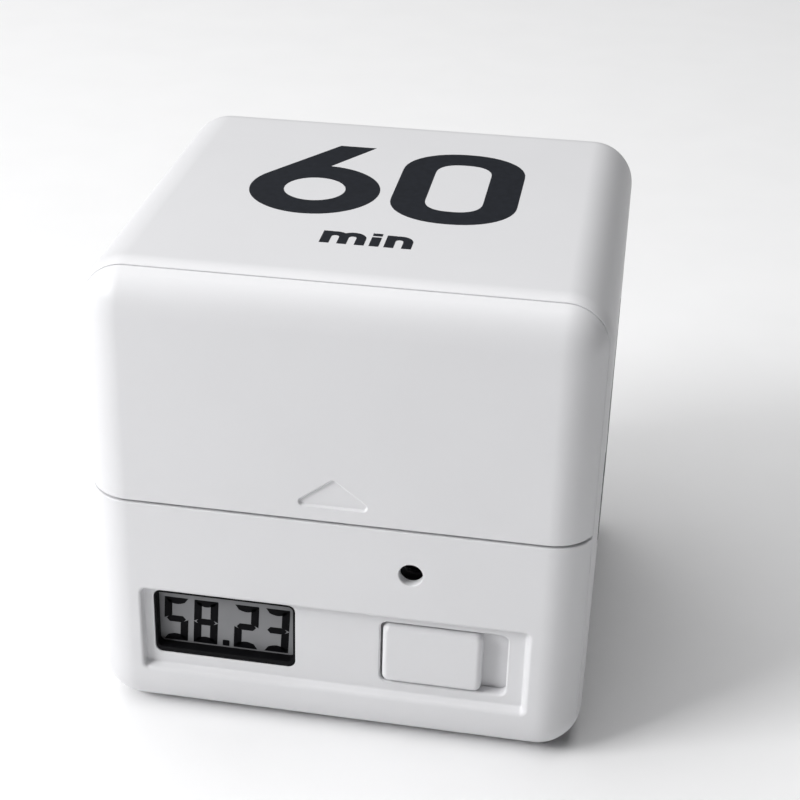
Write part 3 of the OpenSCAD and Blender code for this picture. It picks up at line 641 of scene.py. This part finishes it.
def make_battery_door():
    """Upper front cover, with its lips and ribs inside and the triangle in its face."""
    start = depth_angle(COVER_WALL, COVER_BACK_Y)
    door = cover("battery_door_skin", form_arc(COVER_WALL, "front", start, 90))
    combine(door, [seam_cutter(DOOR_SEAM_Z + DOOR_GAP / 2, True)], "INTERSECT")
    z0, z1 = DOOR_INSIDE_Z
    lips = [block(x0, x1, LIP["y0"], LIP["y1"], z0, z1, LIP["r"])
            for x0, x1 in ((-LIP["x1"], -LIP["x0"]), (LIP["x0"], LIP["x1"]))]
    half_t = RIB["half_t"]
    ribs = [block(x - half_t, x + half_t, INNER_Y - ROOT, INNER_Y + RIB["tall"], z0, z1, RIB["r"])
            for x in RIB_XS]
    combine(door, lips + ribs, "UNION")

    def mark_outline(u):
        return round_triangle(0, MARK["z"], MARK["half_w"], MARK["h"], MARK["r"] + u)

    mark = flared_cut(mark_outline, dip_profile(MARK["draft"], front_y + MARK["depth"], 0.15, 0.12))
    combine(door, [mark], "DIFFERENCE")
    finish_piece(door, shell_white, "battery_door", "battery_door")


def make_knob():
    """Slide knob: rounded front edges, straight sides and the flange behind the slot."""
    face_y = POCKET_Y - KNOB["proud"]
    r = KNOB["rounding"]
    profile = arc(-r, face_y + r, r, -90, 0, 10) + [(0, KNOB_FLANGE_Y + ROOT)]
    knob = new_object("switch_knob_skin", flared_cut(rect_outline(KNOB), profile))
    flange = block(knob_low.x, knob_high.x, KNOB_FLANGE_Y, knob_high.y, knob_low.z, knob_high.z, 0.3)
    combine(knob, [flange], "UNION")
    finish_piece(knob, knob_white, "power_switch", "switch_knob")


def make_bezel():
    """Black lining of the window, with the flange that lies in the recess behind the panel."""
    top = bezel_low.y
    back = bezel_high.y
    body = fillet([(-1, top), (0, top), (0, back)], [0, BEZEL_FILLET, 0])[1:]
    bezel = new_object("lcd_bezel_skin", flared_cut(rect_outline(inset(WINDOW, BEZEL_FIT, BEZEL_FIT)), body))
    flange_y = POCKET_BACK_Y - FLANGE_RECESS["deep"] + 0.02
    flange = block(bezel_low.x, bezel_high.x, flange_y, back, bezel_low.z, bezel_high.z, FLANGE_RECESS["r"])
    combine(bezel, [flange], "UNION")
    opening = rect_outline(inset(WINDOW, BEZEL_WALL, BEZEL_FOOT))
    combine(bezel, [flared_cut(opening, hole_profile(top, BEZEL_FILLET, back + 1))], "DIFFERENCE")
    finish_piece(bezel, bezel_black, "housing", "lcd_bezel")


# ---- Display segments

DIGIT_W = 3.2
DIGIT_H = 6.7
DIGIT_Z = 10.06
STROKE = 1.02
SEGMENT_GAP = 0.04
SLANT = 0.05
# Lit segments by the place of each digit's lower left corner
DIGITS = {-22.66: "afgcd", -18.70: "abcdefg", -13.31: "abged", -9.25: "abgcd"}
DOT = dict(x=-14.33, half=0.45, r=0.12)
# The segments' image is a thin plate, sunk a little into the glass's face
IMAGE_DEPTH = 0.02
IMAGE_SUNK = 0.003


def bar(x0, x1, z, way):
    """Horizontal segment with slanted ends and a bowed inner edge; way is 1 at the top, -1 at the foot."""
    cut = STROKE * 0.48
    edge = z + way * STROKE / 2
    inner = []
    for i in range(9):
        t = i / 8
        x = x0 + cut + (x1 - x0 - 2 * cut) * t
        inner.append((x, edge - way * STROKE * (0.72 + 0.28 * math.sin(math.pi * t))))
    points = [(x0, edge), (x1, edge)] + inner[::-1]
    return points[::-1] if way > 0 else points


def upright(x, z0, z1, side):
    """Vertical segment with slanted ends; side is -1 at the left and 1 at the right."""
    cut = STROKE * 0.5
    outer = x + side * STROKE / 2
    inner = x - side * STROKE / 2
    points = [(outer, z0), (outer, z1), (inner, z1 - cut), (inner, z0 + cut)]
    return points if side > 0 else points[::-1]


def middle_bar(x0, x1, z):
    """Middle segment, pointed at both ends."""
    half = STROKE * 0.48
    cut = half * 0.84
    return [(x0, z), (x0 + cut, z - half), (x1 - cut, z - half),
            (x1, z), (x1 - cut, z + half), (x0 + cut, z + half)]


def segment_outlines(x0, names):
    """Outlines of the lit segments of a digit whose lower left corner is at x0."""
    gap = SEGMENT_GAP
    tip = STROKE * 0.3
    half = STROKE / 2
    x1 = x0 + DIGIT_W
    low = DIGIT_Z
    mid = low + DIGIT_H / 2
    high = low + DIGIT_H
    shapes = {
        "a": bar(x0 + gap, x1 - gap, high - half, 1),
        "d": bar(x0 + gap, x1 - gap, low + half, -1),
        "g": middle_bar(x0 + tip, x1 - tip, mid),
        "f": upright(x0 + half, mid + gap, high - gap, -1),
        "e": upright(x0 + half, low + gap, mid - gap, -1),
        "b": upright(x1 - half, mid + gap, high - gap, 1),
        "c": upright(x1 - half, low + gap, mid - gap, 1),
    }
    return [shapes[name] for name in names]


def flat_mesh(outlines, depth, place):
    """Closed thin plates, one for each outline; place turns (u, v, height) into a point."""
    mesh = bmesh.new()
    for outline in outlines:
        low = [mesh.verts.new(place(u, v, 0)) for u, v in outline]
        high = [mesh.verts.new(place(u, v, depth)) for u, v in outline]
        mesh.faces.new(low[::-1])
        mesh.faces.new(high)
        for i in range(len(outline)):
            k = (i + 1) % len(outline)
            mesh.faces.new((low[i], low[k], high[k], high[i]))
    bmesh.ops.recalc_face_normals(mesh, faces=mesh.faces[:])
    return mesh


def make_segments():
    """The lit segments and the point between them, slanted a little."""
    outlines = [outline for x0, names in DIGITS.items() for outline in segment_outlines(x0, names)]
    x, half = DOT["x"], DOT["half"]
    outlines.append(round_rect(x - half, x + half, DIGIT_Z, DIGIT_Z + 2 * half, DOT["r"], 4))

    def slanted(u, v, h):
        return Vector((u + SLANT * (v - DIGIT_Z - DIGIT_H / 2), glass_y - h + IMAGE_SUNK, v))

    piece = new_object("display_digits", flat_mesh(outlines, IMAGE_DEPTH, slanted))
    piece.data.materials.append(segment_ink)
    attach(piece, "housing")


# ---- Numerals: bold and wide, drawn from arcs and straight strokes

# Height and foot of a numeral, width of its strokes, and the bowl of the six
NUMERAL_H = 24.9
BASE_V = -8.25
STEM = 4.3
BOWL_R = 8.5
BOWL_V = 0.1
# The ink stands this far above its face, and reaches as far below it
INK_DEPTH = 0.02


def six(cu):
    """Round bowl with a straight stem that leaves it along a tangent."""
    top = BASE_V + NUMERAL_H
    hole_r = 4.0
    bowl_end = 86.5
    centre = Vector((cu, BOWL_V))
    corner = Vector((cu + 0.4, top))
    tip = Vector((cu + 5.35, top))
    reach = (corner - centre).length
    along = centre - corner
    along.rotate(Matrix.Rotation(-math.asin(BOWL_R / reach), 2))
    touch = corner + along.normalized() * math.sqrt(reach * reach - BOWL_R * BOWL_R)
    start = math.degrees(math.atan2(touch.y - BOWL_V, touch.x - cu)) % 360
    outline = arc(cu, BOWL_V, BOWL_R, start - 360, bowl_end, 72) + [tuple(tip), tuple(corner)]
    return [outline, arc(cu, BOWL_V, hole_r, 0, 360, 72)[:-1]]


def soft_box(cu, v0, v1, half, bulge, power):
    """Box with straight sides and full curves, a little squarer than an ellipse, at the top and foot."""
    out = []
    for centre_v, first in ((v1 - bulge, 0), (v0 + bulge, 180)):
        for i in range(25):
            t = math.radians(first + 180 * i / 24)
            c, s = math.cos(t), math.sin(t)
            u = cu + half * math.copysign(abs(c) ** power, c)
            out.append((u, centre_v + bulge * math.copysign(abs(s) ** power, s)))
    return out


def nought(cu):
    """Tall soft box with a hole of the same kind."""
    top = BASE_V + NUMERAL_H
    wall = 4.1
    outside = soft_box(cu, BASE_V, top, 8.1, 7.2, 0.93)
    return [outside, soft_box(cu, BASE_V + wall, top - wall, 3.7, 3.6, 0.82)]


def stroke(points, width):
    """Outline of a pen stroke along a smooth centre line, with square ends."""
    left, right = [], []
    for i, p in enumerate(points):
        ahead = Vector(points[min(i + 1, len(points) - 1)]) - Vector(points[max(i - 1, 0)])
        side = Vector((-ahead.y, ahead.x)).normalized() * (width / 2)
        left.append(tuple(Vector(p) + side))
        right.append(tuple(Vector(p) - side))
    return right + left[::-1]


def three(cu):
    """Two stacked bowls."""
    top = BASE_V + NUMERAL_H
    r_low = 7.0
    r_high = (NUMERAL_H - 2 * r_low) / 2
    r_mid = r_high - STEM / 2 + 0.9
    upper = arc(cu - 0.4, top - STEM / 2 - r_mid, r_mid, 150, -90, 40)
    lower = arc(cu - 0.6, BASE_V + r_low, r_low - STEM / 2 + 0.6, 90, -152, 48)
    return [stroke(upper, STEM), stroke(lower, STEM)]


def five(cu):
    """Top bar, short stem and an open bowl."""
    top = BASE_V + NUMERAL_H
    r = 7.9
    half = 6.6
    left = cu - half
    under = top - STEM
    foot = BASE_V + r + 2.6
    bowl = arc(cu, BASE_V + r, r - STEM / 2, 146, -152, 60)
    top_bar = [(left, top), (left, under), (cu + half, under), (cu + half, top)]
    stem = [(left, top), (left - 0.7, foot), (left + STEM - 1.3, foot), (left + STEM, top)]
    return [top_bar, stem, stroke(bowl, STEM)]


def one(cu):
    """Stem with a flag that slants down to the left."""
    top = BASE_V + NUMERAL_H
    right = cu + 2.6
    left = right - STEM - 0.2
    flag = right - STEM - 5.4
    return [[(left, BASE_V), (right, BASE_V), (right, top), (right - STEM + 0.6, top),
             (flag, top - 5.0), (flag, top - 9.6), (left, top - 6.4)]]


def unit_word(cu, v0):
    """The word min in small bold strokes, centred on cu with its feet at v0."""
    pen, height, step, gap = 1.2, 3.65, 2.15, 0.6
    short, dot_foot, dot_h = 2.8, 3.15, 0.8
    letters = {"m": (2 * step + pen, 2), "i": (pen, 0), "n": (step + pen, 1)}
    u = cu - (sum(width for width, arches in letters.values()) + 2 * gap) / 2
    plates = []

    def leg(x, low, high):
        plates.append([(x, low), (x + pen, low), (x + pen, high), (x, high)])

    def arch(x):
        r = step / 2
        foot = v0 + height - pen / 2 - r
        plates.append(stroke(arc(x + pen / 2 + r, foot, r, 180, 0, 20), pen))
        leg(x + step, v0, foot)

    for letter, (width, arches) in letters.items():
        if letter == "i":
            leg(u, v0, v0 + short)
            leg(u, v0 + dot_foot, v0 + dot_foot + dot_h)
        else:
            leg(u, v0, v0 + height)
        for k in range(arches):
            arch(u + k * step)
        u += width + gap
    return plates


def curve_plate(name, groups, to_face):
    """Thin printed plate on a face. A group is an outline and its holes; the groups are joined."""

    def slab(outline, low, high):
        return flat_mesh([outline], high - low, lambda u, v, h: Vector((u, v, h + low)))

    whole = new_object(name, slab(groups[0][0], 0, 1))
    combine(whole, [slab(group[0], 0, 1) for group in groups[1:]], "UNION")
    combine(whole, [slab(hole, -1, 2) for group in groups for hole in group[1:]], "DIFFERENCE")
    for vertex in whole.data.vertices:
        u, v, h = vertex.co / MM
        vertex.co = to_face(u, v, (h - 0.5) * 2 * INK_DEPTH) * MM
    return whole


# Where a numeral's u and v and its height h above the face lie on each side of the cube
FACES = {
    "top": lambda u, v, h: Vector((u, v, top_z + h)),
    "right": lambda u, v, h: Vector((half_w + h, v, middle_z - u)),
    "bottom": lambda u, v, h: Vector((-u, v, -h)),
    "left": lambda u, v, h: Vector((-half_w - h, v, middle_z + u)),
}
# Outlines of each side's numeral, each with its holes
NUMERALS = {
    "top": [six(-8.5), nought(9.8)],
    "right": [[p] for p in one(-7.6)] + [[p] for p in five(7.4)],
    "bottom": [[p] for p in three(-8.8)] + [nought(9.8)],
    "left": [[p] for p in five(0.2)],
}
# Foot and middle of the unit's word
UNIT_FOOT = -16.9
UNIT_CENTRE = 1.05


def make_numerals():
    """One printed plate for each number face: the numeral and the unit below it."""
    for face, to_face in FACES.items():
        groups = NUMERALS[face] + [[p] for p in unit_word(UNIT_CENTRE, UNIT_FOOT)]
        piece = curve_plate("numeral_" + face, groups, to_face)
        piece.data.materials.clear()
        piece.data.materials.append(numeral_ink)
        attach(piece, "housing")


# ---- Cells

CELL_R = 5.2
CELL_END_R = 3.2
CELL_END_DEEP = 0.35
CAP_R = 1.9
CAP_FOOT_R = 2.6
# Length of the copper-coloured end of the sleeve
COPPER_LEN = 11


def lathe(profile, steps=48):
    """Closed solid turned about the X axis from (x, r) points."""
    turns = [2 * math.pi * i / steps for i in range(steps)]
    rings = []
    for x, r in profile:
        r = max(r, 1e-4)
        rings.append([Vector((x, r * math.cos(t), r * math.sin(t))) for t in turns])
    return loft(rings)


def make_cell(node, cap_node, flip):
    """Cell with a crimped sleeve, a second colour near the cap and a stepped cap."""
    low, high = cad_box(node)
    cap_low, cap_high = cad_box(cap_node)
    length = high.x - low.x
    cap_x = high.x - cap_low.x if flip else cap_high.x - low.x
    axis_y = (low.y + high.y) / 2
    axis_z = (low.z + high.z) / 2
    dip_x = length - CELL_END_DEEP
    side = [(0, 0), (0, CELL_R), (length, CELL_R), (length, CELL_END_R), (dip_x, CELL_END_R), (dip_x, 0)]
    body = new_object(node + "_skin", lathe(fillet(side, [0, 0.5, 0.6, 0, 0, 0], 6)))
    root_x, step_x = length - 0.4, length - 0.1
    steps = [(root_x, 0), (root_x, CAP_FOOT_R), (step_x, CAP_FOOT_R), (step_x, CAP_R),
             (cap_x, CAP_R), (cap_x, 0)]
    cap = new_object(cap_node + "_skin", lathe(fillet(steps, [0, 0.1, 0, 0.2, 0.35, 0])))
    way = -1 if flip else 1
    start = high.x if flip else low.x
    for piece in (body, cap):
        for vertex in piece.data.vertices:
            x, y, z = vertex.co / MM
            vertex.co = Vector((start + way * x, axis_y + way * y, axis_z + z)) * MM
    finish_piece(body, sleeve_dark, "housing", node)
    body.data.materials.append(sleeve_copper)
    split = start + way * (length - COPPER_LEN)
    for face in body.data.polygons:
        if (face.center.x / MM - split) * way > 0:
            face.material_index = 1
    finish_piece(cap, nickel, "housing", cap_node)


# ---- CAD nodes that keep their own shape

# The material, and the width in millimetres of the rounded edges, 0 for none
KEPT = {
    "battery_tray": (tray_white, 0.12),
    "tray_screws": (steel, 0.06),
    "panel_screws": (steel, 0.06),
    "board_screws": (steel, 0.06),
    "circuit_board": (mask_green, 0.08),
    "lcd_holder": (black_plastic, 0.1),
    "lcd_front_glass": (glass_film, 0.05),
    "lcd_rear_glass": (glass_film, 0.05),
    "lcd_reflector": (reflector, 0),
    "zebra_strip": (zebra, 0.1),
    "switch_slider": (black_plastic, 0.1),
    "switch_case": (steel, 0.08),
    "switch_base": (laminate, 0.06),
    "buzzer_case": (black_plastic, 0.12),
    "buzzer_base": (black_plastic, 0.05),
    "buzzer_diaphragm": (steel, 0.02),
    "buzzer_magnet": (ferrite, 0.08),
    "buzzer_coil": (copper, 0.1),
    "buzzer_gasket": (foam, 0.1),
    "controller_chip": (resin, 0),
    "clock_crystal": (steel, 0.12),
    "capacitor": (capacitor_blue, 0.2),
    "chip_parts": (ceramic, 0.05),
    "tilt_can_a": (gold, 0.1),
    "tilt_can_b": (gold, 0.1),
    "tilt_base_a": (black_plastic, 0.04),
    "tilt_base_b": (black_plastic, 0.04),
    "tilt_ball_a": (gold, 0),
    "tilt_ball_b": (gold, 0),
    "positive_contact": (nickel, 0.04),
    "negative_contact": (nickel, 0.04),
    "link_contact": (nickel, 0.04),
    "left_spring": (nickel, 0),
    "right_spring": (nickel, 0),
    "red_wire": (red_pvc, 0),
    "black_wire": (black_pvc, 0),
}


def soften(node, material, width):
    """Gives a CAD node its material and, by modifiers, small rounded edges."""
    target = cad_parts[node]
    for slot in target.material_slots:
        slot.material = material
    weld = target.modifiers.new("weld", "WELD")
    weld.merge_threshold = 1e-6
    if width:
        flat = target.modifiers.new("flat", "DECIMATE")
        flat.decimate_type = "DISSOLVE"
        flat.angle_limit = math.radians(0.5)
        bevel = target.modifiers.new("bevel", "BEVEL")
        bevel.width = width * MM
        bevel.segments = 2
        bevel.limit_method = "ANGLE"
        bevel.angle_limit = math.radians(40)
        bevel.use_clamp_overlap = True
        weighted = target.modifiers.new("weighted", "WEIGHTED_NORMAL")
        weighted.keep_sharp = True


# ---- Camera, light and floor

# Place, turn in degrees, lens for a 36 mm wide sensor, and shift
CAMERA_AT = Vector((32.65, -203.11, 144.94))
CAMERA_TURN = (62.644, -0.416, 10.966)
CAMERA_SENSOR = 36
CAMERA_LENS = 76.87575
CAMERA_SHIFT = (0.084125, -0.042875)


def make_camera():
    data = bpy.data.cameras.new("camera")
    data.sensor_width = CAMERA_SENSOR
    data.lens = CAMERA_LENS
    data.shift_x, data.shift_y = CAMERA_SHIFT
    data.clip_start = 0.01
    data.clip_end = 20
    camera = bpy.data.objects.new("camera", data)
    camera.location = CAMERA_AT * MM
    camera.rotation_euler = [math.radians(a) for a in CAMERA_TURN]
    scene.collection.objects.link(camera)
    scene.camera = camera


def area_light(name, at, target, size, power):
    """Square soft light at a point, aimed at another, all in millimetres; power is in watts."""
    data = bpy.data.lights.new(name, "AREA")
    data.shape = "SQUARE"
    data.size = size * MM
    data.energy = power
    light = bpy.data.objects.new(name, data)
    at, target = Vector(at), Vector(target)
    light.location = at * MM
    light.rotation_euler = (at - target).to_track_quat("Z", "Y").to_euler()
    scene.collection.objects.link(light)


# What the surrounding white studio sends onto the object, and how bright it is behind it
WORLD_FILL = 0.015
WORLD_SEEN = 0.9

# The floor reaches this far each way, and lies just below the printed face
FLOOR_REACH = 3000
FLOOR_DROP = 0.03


def make_lights():
    """Key from the upper left front, a weak fill from the left and a wide light overhead."""
    middle = (0, 0, middle_z)
    area_light("key", (-640, -420, 520), middle, 350, 5.9)
    area_light("left", (-750, -200, 330), middle, 500, 0.65)
    area_light("top", (-300, 100, 1300), middle, 1600, 17.5)
    world = bpy.data.worlds.new("studio")
    world.use_nodes = True
    tree = world.node_tree
    background = tree.nodes["Background"]
    background.inputs["Color"].default_value = (0.95, 0.97, 1.0, 1)
    rays = tree.nodes.new("ShaderNodeLightPath")
    strength = tree.nodes.new("ShaderNodeMapRange")
    strength.inputs["To Min"].default_value = WORLD_FILL
    strength.inputs["To Max"].default_value = WORLD_SEEN
    tree.links.new(rays.outputs["Is Camera Ray"], strength.inputs["Value"])
    tree.links.new(strength.outputs["Result"], background.inputs["Strength"])
    scene.world = world
    scene.view_settings.view_transform = "Standard"


def make_floor():
    """Pale matte floor, far wider than the view."""
    mesh = bmesh.new()
    bmesh.ops.create_grid(mesh, x_segments=4, y_segments=4, size=FLOOR_REACH)
    floor = new_object("floor", mesh)
    floor.location.z = -FLOOR_DROP * MM
    paint = plastic("floor_paint", (0.93, 0.93, 0.935), 0.7, grain=1.0, vary=0.01, specular=0.2)
    floor.data.materials.append(paint)


# ---- Everything, in order

make_camera()
make_lights()
make_floor()
make_main_shell()
make_front_panel()
make_battery_door()
make_knob()
make_bezel()
make_segments()
make_numerals()
make_cell("upper_cell", "upper_cell_cap", True)
make_cell("lower_cell", "lower_cell_cap", False)
for cad_node, (material, width) in KEPT.items():
    soften(cad_node, material, width)
